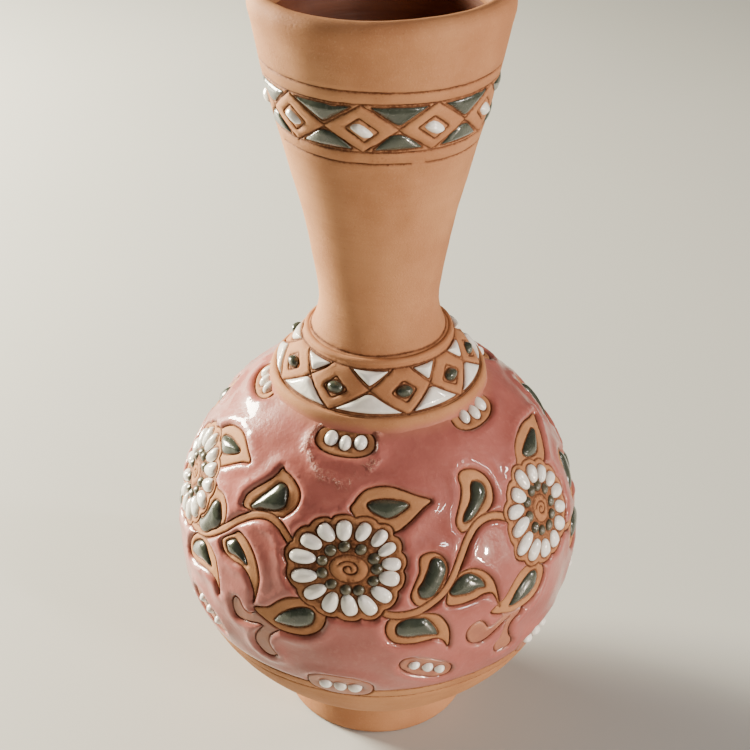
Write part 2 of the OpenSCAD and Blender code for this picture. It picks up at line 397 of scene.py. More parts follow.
def add_piece(name, points, faces, finish, node=None, **fields):
    """A smooth piece from millimetre points, in place of a CAD node, with number fields for its material."""
    material, slot = finish
    mesh = bpy.data.meshes.new(name)
    mesh.from_pydata((np.asarray(points) * MM).tolist(), [], [tuple(int(i) for i in f) for f in faces])
    mesh.update()
    for field, values in fields.items():
        attribute = mesh.attributes.new(field, "FLOAT", "POINT")
        attribute.data.foreach_set("value", np.asarray(values, np.float32))
    mesh.materials.append(material)
    mesh.polygons.foreach_set("use_smooth", np.ones(len(mesh.polygons), bool))
    piece = in_scene(name, mesh)
    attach(piece, "root")
    if node:
        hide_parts(node)


def band(first, second, count):
    """Quads between two closed rings of points, each given by the number of its first point."""
    here = np.arange(count)
    after = (here + 1) % count
    return np.stack([first + here, first + after, second + after, second + here], 1).tolist()


def lathe(name, profile, finish, node, lift, turns=360):
    """A closed turned ring from a closed (r, z) outline, moved by a lift field along its normals."""
    p = np.asarray(profile, float)
    d = np.roll(p, -1, axis=0) - np.roll(p, 1, axis=0)
    normal = np.stack([d[:, 1], -d[:, 0]], 1) / np.maximum(np.hypot(d[:, 0], d[:, 1]), 1e-9)[:, None]
    a = np.linspace(0, 2 * math.pi, turns, endpoint=False)

    def spun(rz):
        return np.stack([np.outer(rz[:, 0], np.sin(a)), -np.outer(rz[:, 0], np.cos(a)),
                         np.outer(rz[:, 1], np.ones(turns))], 2).reshape(-1, 3)

    places = spun(p)
    places = places + spun(normal) * lift(places)[:, None]
    faces = [face for i in range(len(p)) for face in band(i * turns, (i + 1) % len(p) * turns, turns)]
    add_piece(name, places, faces, finish, node, cut=np.full(len(places), FAR_FROM_CUT))


def smooth_profile(points, step):
    """A dense curve through (r, z) points, at even spacing."""
    curve = spline(points, closed=False, per_span=16)
    s = np.r_[0, np.cumsum(np.hypot(*np.diff(curve, axis=0).T))]
    t = np.linspace(0, s[-1], max(int(s[-1] / step), 3) + 1)
    return np.stack([np.interp(t, s, curve[:, 0]), np.interp(t, s, curve[:, 1])], 1)


# ---------------------------------------------------------------- relief

def body_lift(places):
    """The unevenness that every piece on the clay shares, so that they stay in contact."""
    return 0.22 * throwing(places)


def cut_lift(places, distance):
    """How far a cut line lowers the clay: a ragged V with a small burr beside it."""
    strength = np.clip(1 + 0.3 * cut_strength(places), 0.45, 1.5)
    half = CUT_HALF * (0.85 + 0.2 * strength)
    groove = np.clip(1 - distance / half, 0, 1)
    burr = np.exp(-((distance - half - 0.25) / 0.25) ** 2)
    return -CUT_DEPTH * strength * groove + 0.09 * strength * burr


def clay_lift(places, distance):
    return cut_lift(places, distance) + 0.05 * clay_dent(places)


def crawled(places):
    """1 on the ragged ring where the glaze crawled back beside a shoulder pill, and 0 away from it. The
    glaze is raised there, and its grains are painted lighter, partly as painted highlight.
    """
    gap = np.linalg.norm(places - CRAWL_GLINT_CENTRE, axis=1) + 1.6 * glaze_ripple(places * 0.7)
    return np.exp(-((gap - CRAWL_GLINT_R) / 1.5) ** 2)


def glaze_lift(places, distance, latitude):
    """The thick glaze: it climbs out of the cut, puffs up beside it and then lies in slow waves."""
    rise = 1 - np.exp(-np.maximum(distance, 0) / 0.5)
    puff = np.exp(-((distance - 2.2) / 1.3) ** 2) * (1 + 0.5 * glaze_swell(places * 0.8))
    away = smoothstep(1.5, 7.0, distance)
    body = smoothstep(HEM_LAT, HEM_LAT + 9, latitude) * (1 - smoothstep(54.0, 58.0, latitude))
    thick = 0.3 + 0.45 * body
    swell = (0.1 + 0.26 * body) * glaze_swell(places) * (0.35 + 0.65 * away)
    ripple = 0.06 * glaze_ripple(places) * smoothstep(0.8, 2.5, distance)
    wave = swell + ripple - 0.3 * away * body + 0.5 * crawled(places)
    return -CUT_DEPTH + (CUT_DEPTH + thick) * rise + 0.42 * puff * body + wave * rise


# ---------------------------------------------------------------- enamel pools

POOL_RINGS = (1.0, 0.985, 0.955, 0.91, 0.85, 0.76, 0.64, 0.5, 0.34, 0.17)   # sizes of the rings of the dome
EDGE_DEPTH = 0.42        # how far a pool's visible edge goes below the clay
BASE_DEPTH = 0.95        # how far the closed underside is below the clay


def pool(chart, outline, height, edge=1.5, inset=0.2, crown=0.3):
    """A domed pool of enamel inside an outline on a chart, closed below. Returns its points and faces.

    The dome rises over `edge` millimetres from the outline, and goes on rising by `crown` to its middle.
    """
    outline = offset(chart, outline, inset)
    squeeze = [float(chart.squeeze(outline[:, 1].mean())), 1]
    centre = area_and_centre(outline)[1]
    local = (outline - centre) * squeeze
    points, heights = [], []
    for scale in POOL_RINGS:
        ring = local * scale
        gap = distance_to_loop(ring, local) if scale < 1 else np.zeros(len(ring))
        t = np.clip(gap / edge, 0, 1)
        dome = np.sqrt(1 - (1 - t) ** 2)
        points.append(ring)
        heights.append(-EDGE_DEPTH + (height + EDGE_DEPTH) * dome + crown * (1 - scale**2) * t)
    points += [np.zeros((1, 2)), local * 0.99]
    heights += [[heights[-1].mean()], np.full(len(local), -BASE_DEPTH)]
    flat = np.vstack(points) / squeeze + centre
    where = chart.wrap(flat, np.concatenate(heights) + body_lift(chart.wrap(flat)))
    n = len(local)
    last = (len(POOL_RINGS) - 1) * n
    top = last + n
    faces = [face for ring in range(0, last, n) for face in band(ring, ring + n, n)]
    faces += [(last + i, last + (i + 1) % n, top) for i in range(n)]
    faces += band(top + 1, 0, n)
    faces.append(range(top + n, top, -1))
    return where, faces


def area_and_centre(outline):
    """The area of a closed outline, positive if its inside is on its left, and its middle."""
    x, y = outline.T
    next_x, next_y = np.roll(x, -1), np.roll(y, -1)
    cross = x * next_y - next_x * y
    area = cross.sum() / 2
    return area, np.array([((x + next_x) * cross).sum(), ((y + next_y) * cross).sum()]) / (6 * area)


def distance_to_loop(points, loop):
    a, b = loop[None], np.roll(loop, -1, axis=0)[None]
    p = points[:, None]
    ab = b - a
    t = np.clip(((p - a) * ab).sum(2) / np.maximum((ab**2).sum(2), 1e-12), 0, 1)
    return np.linalg.norm(p - a - ab * t[:, :, None], axis=2).min(1)


def pour(name, node, chart, outlines, finish, height, **shape):
    """One piece made of several pools of enamel, in place of a CAD node."""
    points, faces, start = [], [], 0
    for outline in outlines:
        outline = resample(chart, outline, CUT_STEP)
        if area_and_centre(outline)[0] < 0:
            outline = outline[::-1]
        pool_points, pool_faces = pool(chart, outline, height * rng.uniform(0.88, 1.1), **shape)
        points.append(pool_points)
        faces += [[i + start for i in face] for face in pool_faces]
        start += len(pool_points)
    add_piece(name, np.vstack(points), faces, finish, node)


# ---------------------------------------------------------------- materials

class Nodes:
    """A new material with short ways to add its nodes. A value is a node's output or a plain number."""

    def __init__(self, name):
        self.material = bpy.data.materials.new(name)
        self.material.use_nodes = True
        self.tree = self.material.node_tree
        self.tree.nodes.clear()
        self.shader = self.add("BsdfPrincipled")
        output = self.add("OutputMaterial")
        self.tree.links.new(self.shader.outputs[0], output.inputs["Surface"])
        self.place = self.add("TexCoord").outputs["Object"]

    def add(self, kind, **inputs):
        node = self.tree.nodes.new("ShaderNode" + kind)
        for name, value in inputs.items():
            self.link(value, node.inputs[name.replace("_", " ")])
        return node

    def link(self, value, socket):
        if isinstance(value, bpy.types.NodeSocket):
            self.tree.links.new(value, socket)
        else:
            socket.default_value = value

    def stretched(self, scale):
        return self.add("Mapping", Scale=scale, Vector=self.place).outputs[0]

    def noise(self, scale, detail, roughness, where=None, distortion=0.0):
        return self.add("TexNoise", Scale=scale, Detail=detail, Roughness=roughness, Distortion=distortion,
                        Vector=where or self.place).outputs["Fac"]

    def cells(self, scale):
        return self.add("TexVoronoi", Scale=scale, Vector=self.place).outputs["Distance"]

    def ramp(self, value, low, high, to_low=0.0, to_high=1.0):
        node = self.add("MapRange", Value=value, From_Min=low, From_Max=high, To_Min=to_low, To_Max=to_high)
        node.interpolation_type = "SMOOTHSTEP"
        return node.outputs["Result"]

    def math(self, operation, a, b):
        node = self.add("Math")
        node.operation = operation
        self.link(a, node.inputs[0])
        self.link(b, node.inputs[1])
        return node.outputs[0]

    def mix(self, amount, a, b):
        node = self.add("Mix", Factor=amount)
        node.data_type = "RGBA"
        self.link(a, node.inputs[6])
        self.link(b, node.inputs[7])
        return node.outputs[2]

    def field(self, name):
        node = self.add("Attribute")
        node.attribute_name = name
        return node.outputs["Fac"]

    def height(self):
        return self.add("SeparateXYZ", Vector=self.place).outputs["Z"]

    def bump(self, height, distance, under=None):
        node = self.add("Bump", Distance=distance, Height=height)
        if under:
            self.link(under, node.inputs["Normal"])
        return node.outputs["Normal"]

    def ragged_distance(self, amount):
        """The distance to the nearest cut line with a ragged edge, in millimetres."""
        wobble = self.math("MULTIPLY", self.math("SUBTRACT", self.noise(1000, 3, 0.6), 0.5), amount)
        return self.math("ADD", self.field("cut"), wobble)

    def cut_oxide_and_shade(self, distance, reach):
        """How much dark colour lies in a cut, which varies along it: the dark oxide left in it, and painted
        shade of the groove.
        """
        left = self.ramp(self.noise(130, 3, 0.6), 0.32, 0.62, 0.62, 0.96)
        return self.math("MULTIPLY", self.ramp(distance, 0.12, reach, 1.0, 0.0), left)

    def finish(self, slot, colour, roughness, normal, **constants):
        """Links the looks to the shader, and returns the material with the record's slot for it."""
        for name, value in (("Base Color", colour), ("Roughness", roughness), ("Normal", normal)):
            self.link(value, self.shader.inputs[name])
        for name, value in constants.items():
            self.shader.inputs[name.replace("_", " ")].default_value = value
        return self.material, slot


def rgb(red, green, blue):
    """A linear colour from 0 to 255 display values."""
    def linear(c):
        c /= 255
        return c / 12.92 if c <= 0.04045 else ((c + 0.055) / 1.055) ** 2.4
    return (linear(red), linear(green), linear(blue), 1.0)


CLAY_LIGHT = rgb(187, 134, 94)
CLAY_DARK = rgb(163, 111, 76)
# The dark brown in the cuts: the oxide in them, and painted shade of the grooves.
CUT_BROWN = rgb(89, 52, 34)


def clay_finish(name, glazed_below=None):
    """Matte fired clay: mottled, with grit, fine wheel lines, and dark oxide rubbed into the cuts together
    with painted shade of the grooves.

    Below the height `glazed_below`, in metres, a veil of the pink glaze has run over it.
    """
    n = Nodes(name)
    streak = n.noise(1, 3, 0.6, n.stretched((9, 9, 650)))
    grit = n.noise(1500, 3, 0.7)
    body = n.mix(n.ramp(n.noise(26, 5, 0.6), 0.34, 0.68), CLAY_DARK, CLAY_LIGHT)
    body = n.mix(n.ramp(streak, 0.3, 0.75, 0.0, 0.16), body, CLAY_DARK)
    body = n.mix(n.ramp(grit, 0.52, 0.75, 0.0, 0.2), body, rgb(205, 167, 132))
    body = n.mix(n.ramp(n.cells(420), 0.05, 0.14, 0.2, 0.0), body, rgb(109, 67, 43))
    ragged = n.ragged_distance(0.75)
    body = n.mix(n.ramp(ragged, 0.3, 1.1, 0.18, 0.0), body, rgb(138, 88, 62))
    # Dark in the cuts: the oxide, and painted shade of the groove.
    body = n.mix(n.cut_oxide_and_shade(ragged, 0.52), body, CUT_BROWN)
    roughness = n.ramp(grit, 0.3, 0.7, 0.62, 0.82)
    if glazed_below is not None:
        edge = n.math("ADD", n.height(), n.math("MULTIPLY", n.noise(90, 4, 0.6), 0.0035))
        veil = n.ramp(edge, glazed_below, glazed_below + 0.0042, 0.9, 0.0)
        body = n.mix(veil, body, rgb(167, 101, 89))
        roughness = n.math("SUBTRACT", roughness, n.math("MULTIPLY", veil, 0.4))
    skin = n.bump(grit, 0.00014, under=n.bump(streak, 0.00014))
    return n.finish("terracotta", body, roughness, skin, Specular_IOR_Level=0.12)


def pink_finish():
    """Thick pink glaze: cloudy, browner where it thins, rippled, with a wet gloss, dark oxide and painted
    shade in the cuts, and crawled grains painted lighter, partly as painted highlight.
    """
    n = Nodes("pink_glaze")
    body = n.mix(n.ramp(n.noise(32, 5, 0.6, distortion=0.4), 0.3, 0.7), rgb(152, 85, 78), rgb(173, 102, 94))
    body = n.mix(n.ramp(n.noise(420, 4, 0.65), 0.5, 0.72, 0.0, 0.2), body, rgb(188, 125, 112))
    thick = n.math("ADD", n.field("cut"), n.math("MULTIPLY", n.noise(300, 3, 0.5), 0.6))
    body = n.mix(n.ramp(thick, 0.6, 1.7, 0.5, 0.0), body, rgb(154, 96, 76))
    body = n.mix(n.ramp(n.height(), 0.1435, 0.1465, 0.0, 0.5), body, rgb(178, 120, 94))
    # Dark where the glaze ends in the cuts: the oxide, and painted shade of the groove.
    body = n.mix(n.cut_oxide_and_shade(n.ragged_distance(0.6), 0.38), body, rgb(91, 49, 34))
    grains = n.noise(1100, 3, 0.7)
    # Lighter peach grains on the crawled ring: raised grains of glaze, partly a painted highlight.
    crawl = n.math("MULTIPLY", n.field("crawl"), n.ramp(n.noise(150, 3, 0.6), 0.36, 0.54))
    body = n.mix(n.math("MULTIPLY", crawl, n.ramp(grains, 0.48, 0.62)), body, rgb(205, 150, 130))
    skin = n.bump(n.noise(95, 2, 0.5), 0.0003)
    skin = n.bump(n.noise(650, 3, 0.6), 0.00012, under=skin)
    skin = n.bump(n.math("MULTIPLY", grains, crawl), 0.0009, under=skin)
    roughness = n.ramp(n.noise(48, 3, 0.5), 0.35, 0.7, 0.3, 0.44)
    return n.finish("pink_glaze", body, roughness, skin, Specular_IOR_Level=0.2, Coat_Weight=0.75,
                    Coat_IOR=1.38, Coat_Roughness=0.05, IOR=1.45)


def thin_glaze_finish():
    """The buds and some pills: clay seen through a thin, half-gloss veil of pink glaze."""
    n = Nodes("thin_glaze")
    cloud = n.noise(160, 4, 0.6)
    body = n.mix(n.ramp(cloud, 0.35, 0.65), rgb(156, 98, 78), rgb(170, 111, 84))
    # Darker in the cuts: the oxide in them, and painted shade of the groove.
    body = n.mix(n.ramp(n.ragged_distance(0.5), 0.08, 0.4, 0.65, 0.0), body, rgb(114, 65, 47))
    return n.finish("terracotta", body, n.ramp(cloud, 0.3, 0.7, 0.3, 0.5),
                    n.bump(n.noise(500, 3, 0.6), 0.00015), Coat_Weight=0.2, Coat_Roughness=0.12)


def enamel_finish(slot, name, deep, light, speck, roughness, coat):
    """A glassy pool of enamel with soft colour drift, dark pinholes and a slightly uneven skin."""
    n = Nodes(name)
    body = n.mix(n.ramp(n.noise(130, 4, 0.6), 0.3, 0.7), deep, light)
    body = n.mix(n.ramp(n.cells(700), 0.03, 0.12, 0.5, 0.0), body, speck)
    return n.finish(slot, body, n.ramp(n.noise(260, 2, 0.5), 0.3, 0.7, roughness, roughness + 0.14),
                    n.bump(n.noise(240, 3, 0.5), 0.0004), Coat_Weight=coat, Coat_Roughness=0.05)


def inside_finish():
    """The dark reddish inside, with a thin worn sheen."""
    n = Nodes("inside_clay")
    streak = n.noise(1, 4, 0.6, n.stretched((14, 14, 260)))
    body = n.mix(n.ramp(streak, 0.3, 0.72), rgb(107, 58, 36), rgb(121, 69, 43))
    body = n.mix(n.ramp(n.noise(60, 4, 0.6), 0.4, 0.7, 0.0, 0.5), body, rgb(91, 47, 31))
    roughness = n.ramp(n.noise(90, 3, 0.5), 0.3, 0.7, 0.4, 0.6)
    return n.finish("terracotta", body, roughness, n.bump(streak, 0.00022))


CLAY = clay_finish("clay")
COIL_CLAY = clay_finish("coil_clay", glazed_below=0.1468)
PINK = pink_finish()
THIN_GLAZE = thin_glaze_finish()
GREEN = enamel_finish("green_enamel", "green_enamel", rgb(54, 60, 51), rgb(71, 76, 65), rgb(36, 40, 33),
                      0.18, 0.45)
BEAD = enamel_finish("green_enamel", "bead_enamel", rgb(71, 67, 53), rgb(89, 84, 67), rgb(42, 38, 29),
                     0.24, 0.35)
WHITE = enamel_finish("white_enamel", "white_enamel", rgb(236, 230, 220), rgb(249, 247, 243),
                      rgb(196, 182, 164), 0.14, 0.7)
INSIDE = inside_finish()


# ---------------------------------------------------------------- the drawing on the globe
# Outlines are (azimuth, latitude) in degrees. Azimuths are counted from the flower of their unit.

FLOWER_AT = ((-76.0, 24.2), (-8.0, 23.0), (57.5, 24.4), (131.0, 23.2), (207.0, 24.0))

TOP_LEAF = ((4.3, 39.5), (5.5, 38), (8, 37), (10.5, 36.4), (13, 36.9), (15.5, 38), (18.2, 39.6),
            (17, 40.7), (14, 41.2), (10, 41.4), (7, 41), (4.9, 40.3))
TOP_LEAF_GROUND = ((-1, 37.6), (0, 40.2), (1.8, 42.2), (4.2, 43.6), (8, 44.5), (12, 44.6), (16, 43.8),
                   (20.5, 42.2), (25.8, 40.1), (22.6, 38.5), (20, 36.9), (17, 35), (13, 33), (6, 32.5))
LOW_LEAF = ((-20, 3.5), (-17, 3.1), (-12.5, 3.6), (-9.4, 5.3), (-8.3, 7.8), (-8.9, 9.7), (-11, 10.3),
            (-13.7, 9.5), (-17, 7.5), (-19.4, 5))
LOW_LEAF_GROUND = ((-26.6, 5), (-22, 7.2), (-19, 10), (-16, 12), (-12, 12.8), (-8, 12.2), (-5.4, 9.3),
                   (-5.7, 6), (-8, 3), (-12, 1.1), (-18, 0.9), (-22, 2.2))

SPRIG_LEAVES = (
    ((34.9, 32), (38, 32.3), (41.5, 34), (45, 36.2), (46.2, 38.4), (45.4, 40.3), (43, 41.3), (41.3, 40.4),
     (39.9, 38), (38, 36), (35.6, 34.3), (34.7, 33)),
    ((19.3, 16.6), (20.2, 15.1), (22.8, 14.9), (24.5, 16.2), (26.6, 19.5), (27.5, 22), (26.7, 24.3),
     (25, 25.5), (23.3, 25.2), (22.1, 23), (20.6, 19.6), (19.3, 17.9)),
    ((28, 15.2), (28.9, 14), (33, 13.2), (36.2, 13.6), (38.5, 13.4), (38.1, 15.4), (36.6, 17.2),
     (34.5, 18.7), (32.3, 19), (30.3, 18), (28.6, 16.4)),
    ((13, 6), (13.6, 4.5), (16.2, 3.8), (20, 3.9), (23.6, 3.5), (24, 4.8), (22.9, 7.2), (21, 9.3),
     (18, 9.7), (15.5, 9.4), (13.6, 8)))
SPRIG_GROUNDS = (
    ((34, 29.8), (32.4, 31.2), (32.1, 33.2), (33.5, 35.4), (36, 38.5), (37.4, 41), (37.7, 43.3),
     (39.2, 44.6), (42, 44.8), (45.5, 43.8), (48, 41.8), (49, 39), (48.3, 36.2), (46.5, 33.8), (43, 32.2),
     (38.5, 31)),
    ((20.2, 26.4), (22.5, 27.1), (24.6, 26.7), (26.6, 25.2), (27.8, 22.7), (27.6, 20.2), (26.4, 17.6),
     (24.6, 15.2), (22.6, 13.7), (20.3, 12.9), (18.3, 13.7), (17.2, 16), (18, 18.6), (19.6, 22.3),
     (19.6, 24.8)),
    ((28.2, 17.2), (31, 19.7), (35, 19.8), (38.5, 17.9), (41, 14.9), (42.2, 11), (42.7, 5.2), (41.6, 8.6),
     (40.4, 10.6), (38, 11.4), (35, 11), (31, 10.9), (27.6, 11.5), (26.8, 13.2)),
    ((11.8, 9.6), (16, 10.5), (20, 10.8), (22.9, 10.4), (25.1, 9), (26.8, 6), (27.3, 2.8), (26.7, -1.4),
     (25.3, 1), (23.3, 2.3), (21, 2), (17, 1.6), (13, 2), (11, 3.6), (10.3, 6), (10.7, 8.3)))
SPRIG_STEM = ((8, 12.6), (11, 11), (14.5, 10.7), (18.5, 11.4), (22.5, 13.2), (26.5, 16), (29.4, 19.6),
              (31.9, 23.8), (34.9, 27.9), (38.5, 30.4), (42.5, 31.1), (46.5, 30.4), (50.5, 28.4), (54, 26))
# The sprig between the first two flowers has pointed leaves.
POINTED_LEAVES = (
    ((33.8, 31.9), (34.3, 33.1), (35.9, 35.3), (37.6, 37.3), (39.6, 39.7), (40.6, 40.6), (42.3, 40.7),
     (44, 40.1), (45.1, 38.1), (45.6, 35.9), (45.1, 34.7), (42.9, 33.4), (40.1, 32.8), (37.3, 32.3),
     (35.1, 31.3)),
    ((13.7, 17.6), (15.1, 18.7), (16.8, 21.4), (18.2, 25.3), (19.6, 26.7), (21.8, 26.4), (23.7, 24.2),
     (24.1, 22.6), (23.2, 20.3), (20.7, 18.1), (18.4, 15.9), (16.2, 15.1), (14.3, 15.9)),
    ((28.7, 19.2), (30.1, 20.6), (31.8, 21.4), (33.4, 20.8), (35.7, 19.2), (37.1, 17.3), (37.3, 16.2),
     (35.7, 16.7), (33.4, 16.9), (31.2, 16.6), (29.6, 17.3)),
    ((12.3, 7.6), (13.4, 9.8), (15.1, 11.4), (17.3, 12.8), (19.6, 12.8), (21.8, 10.9), (23.7, 8.9),
     (22.9, 8.1), (19.6, 7.6), (16.2, 6.4), (13.4, 5.9)))
POINTED_GROUNDS = (
    ((32, 30.5), (30.4, 32.8), (30.9, 34.5), (32.9, 37), (35.7, 39.8), (37.6, 42), (38.7, 44.6),
     (40.7, 43.9), (42.9, 43.4), (45.7, 42.3), (48.4, 40.6), (49.7, 38.7), (49.7, 36.7), (48.7, 34.8),
     (46.8, 33.1), (45.1, 32.2)),
    ((11, 15.5), (12.2, 18.1), (12.9, 20.3), (14.8, 23.1), (15.9, 25.9), (16.6, 29.6), (18.4, 29),
     (21.8, 29.2), (24.6, 27.8), (25.9, 25.6), (26.1, 23.7), (25.4, 21.4), (22.5, 17.8), (18.5, 14.2),
     (14, 13.6)),
    ((26.8, 19.2), (30.7, 22.6), (32.3, 23.9), (34.6, 23.6), (37.3, 22.3), (39.6, 20.1), (41.2, 17.3),
     (42.1, 14.2), (41.9, 10.9), (40.9, 6.8), (40.5, 10), (38.4, 13.7), (35.7, 15.3), (32.3, 15.3),
     (29, 15.9), (27.3, 17.3)),
    ((10.5, 7.8), (11.5, 10.5), (14, 12.9), (17.5, 14.3), (21.5, 14.2), (25.1, 12.6), (26.6, 10.2),
     (28, 6.5), (28.4, 2.4), (26.5, 5.6), (23.5, 6.3), (19.6, 5.6), (16, 4.4), (12.5, 4), (10.7, 5.6)))
POINTED_STEM = ((5, 13.2), (12, 13.6), (19, 16), (26, 21.5), (31, 26.5), (36, 30), (41, 31.3),
                (45.5, 30.3), (49.5, 27.4), (53.5, 24))

BUDS = (
    ((-33.2, 5.1), (-31.7, 5.5), (-30.6, 4.1), (-29.7, 2.9), (-27.7, 2.6), (-25.9, 3.9), (-23.5, 4.4),
     (-20.5, 2.4), (-23.2, 0.3), (-25.2, 0.3), (-27.8, -0.5), (-31.1, -1.4), (-33.2, -1.1), (-34.1, 0.8),
     (-34.3, 3.3)),
    ((-25.4, -2), (-26.8, -4.2), (-27.3, -6.7), (-26.5, -8.7), (-24.9, -10.4), (-22.9, -10.9),
     (-21.1, -10.2), (-20.4, -9.1), (-21, -8.1), (-22, -6.6), (-22.6, -4.5), (-22, -2.5), (-20.9, -1.1),
     (-19, 0.6), (-17.5, 1.8), (-20, 2.6), (-22.6, 1.4), (-24.2, -0.2)))
# The third flower's buds, which the glaze has run over.
GLAZED_BUDS = (
    ((-33.7, 0), (-33.4, 2.1), (-32, 3.4), (-30.1, 3.7), (-28.4, 2.4), (-26.9, 0.2), (-24.7, 0.5),
     (-22.7, 1.6), (-21.2, 3), (-18.6, 1.8), (-19.6, 0.2), (-22.9, -1.3), (-25.3, -2.6), (-27.6, -3.8),
     (-30.3, -3.9), (-32.7, -2.4)),
    ((-21.6, -3.4), (-21.2, -1.4), (-19.5, 0.2), (-18.5, 2), (-14.5, 2), (-15.8, -0.7), (-17.6, -1.6),
     (-18.9, -2.6), (-19.5, -4.6), (-18.8, -7.5), (-17.5, -10.3), (-18.7, -12.2), (-21.5, -12.2),
     (-23.2, -11.6), (-24.1, -9.4), (-24, -7.4), (-22.7, -6.3)))

# Each pill is its centre, half width, half height and turn, and then its dots, all in degrees.
PILLS = {
    "shoulder": (((-7.6, 55.8), 14.4, 4.3, 0.0), ((-14.3, 56.0), (-7.2, 55.4), (-0.1, 56.0))),
    "waist": (((21.4, -8.6), 8.0, 3.5, -27.0), ((18.0, -6.9), (21.7, -8.4), (25.2, -10.2))),
    "hem": (((-2.4, -17.6), 9.6, 5.0, 0.0), ((-6.6, -17.7), (-2.3, -17.7), (1.9, -17.7))),
}
# Half the width and half the height of a pill's dots, in millimetres.
DOT_SIZE = {"shoulder": (2.4, 3.1), "waist": (2.15, 2.0), "hem": (2.7, 2.1)}


def gaps_after(azimuths):
    """The gap from each mark round the vase to the next."""
    return np.diff([*azimuths, azimuths[0] + 360])


# The sprigs are drawn for a gap of 66 degrees. All but the first two are stretched to reach the next flower.
SPRIG_GAP = 66.0
SPRIG_STRETCH = [1.0, 1.0] + [gap / SPRIG_GAP for gap in gaps_after([az for az, _ in FLOWER_AT])[2:]]
STEM_HALF = 1.4   # half the width of a sprig's stem, in millimetres

# How each unit differs a little: a shift of what is far from its flower, and of its shoulder pill.
UNIT_NUDGE = ((-0.4, 1.2), (0.0, 0.0), (0.6, 0.3), (-0.8, 0.8), (0.9, -0.5))
PILL_NUDGE = ((0.0, 1.9), (0.0, 0.0), (4.5, 1.7), (-1.0, 0.7), (1.5, 1.1))

# The two flowers that face the viewer, petal by petal: the turn round the flower, the distance of the
# petal's middle, its half length and half width in millimetres, and how far it leans off the radius.
MEASURED_PETALS = {
    1: ((101, 13.0, 3.4, 2.7, -9), (73, 13.4, 3.3, 2.3, -12), (49, 14.4, 3.3, 2.1, -1),
        (30, 14.2, 3.2, 1.9, 0), (9, 14.3, 3.2, 2.2, -14), (349, 13.9, 3.5, 2.6, 1),
        (324, 14.0, 3.8, 2.4, 2), (299, 14.0, 4.1, 2.6, 7), (273, 12.9, 4.0, 2.7, 14),
        (246, 13.8, 3.9, 2.6, 5), (221, 14.7, 4.3, 2.4, -7), (198, 16.0, 4.7, 2.4, -3),
        (175, 16.3, 4.8, 2.4, 10), (152, 15.2, 3.9, 2.5, 18), (127, 14.0, 3.4, 2.6, 16)),
    2: ((102, 13.5, 4.0, 2.6, 1), (74, 12.6, 3.3, 2.5, -8), (47, 12.4, 3.3, 2.2, -8),
        (20, 13.0, 3.2, 2.3, -12), (355, 13.3, 3.9, 2.5, -12), (331, 13.9, 3.7, 2.3, -9),
        (307, 14.3, 3.9, 2.6, 11), (281, 14.4, 3.3, 2.7, 0), (255, 14.5, 3.4, 2.7, 11),
        (229, 14.9, 4.1, 2.6, -12), (206, 15.0, 4.8, 2.4, 1), (181, 12.9, 4.6, 2.4, 14),
        (156, 13.6, 3.9, 2.4, 16), (130, 12.6, 3.6, 2.5, 5)),
}
# Half the width and half the height of a flower's ring of beads, in millimetres.
BEAD_RING = {1: (9.6, 7.6), 2: (7.5, 7.9)}
PLAIN_BEAD_RING = (7.7, 7.7)

globe_chart = GlobeChart()


def placed(outline, unit, closed=True, nudged=True):
    """An outline of a unit as a smooth curve on the globe chart, a little warped by hand.

    What grows towards the next flower is stretched so that it reaches it.
    """
    curve = spline(outline, closed)
    ahead = smoothstep(4, 12, curve[:, 0].mean())
    curve = curve * [1 + (SPRIG_STRETCH[unit] - 1) * ahead, 1]
    seed = unit * 1.7
    sway = 0.35 * np.sin(np.radians(curve[:, 1] * 9 + seed * 90))
    lean = 0.3 * np.sin(np.radians(curve[:, 0] * 8 + seed * 60))
    away = smoothstep(6, 22, np.abs(curve[:, 0]))[:, None]
    nudge = np.array(UNIT_NUDGE[unit]) * nudged
    moved = curve + np.stack([sway, lean], 1) + nudge * away
    return globe_chart.flat(moved + [FLOWER_AT[unit][0], 0])


def oval(centre, half_wide, half_high, turn=0.0, egg=0.0, square=2.0):
    """An oval in true millimetres round a place given in degrees, as a curve on the globe chart."""
    t = np.radians(np.arange(0, 360, 9))
    x = np.sign(np.cos(t)) * np.abs(np.cos(t)) ** (2 / square) * half_wide
    y = np.sign(np.sin(t)) * np.abs(np.sin(t)) ** (2 / square) * half_high * (1 + egg * np.cos(t))
    a = math.radians(turn)
    x, y = x * math.cos(a) - y * math.sin(a), x * math.sin(a) + y * math.cos(a)
    at = globe_chart.flat([centre])[0]
    return at + np.stack([x / math.cos(math.radians(centre[1])), y], 1)


def pill_outline(unit, pill, nudge=(0.0, 0.0)):
    (az, lat), half_wide, half_high, turn = pill
    centre = (FLOWER_AT[unit][0] + az + nudge[0], lat + nudge[1])
    per = globe_chart.per_degree
    wide = half_wide * math.cos(math.radians(lat)) * per
    return oval(centre, wide, half_high * per, turn, square=2.4)


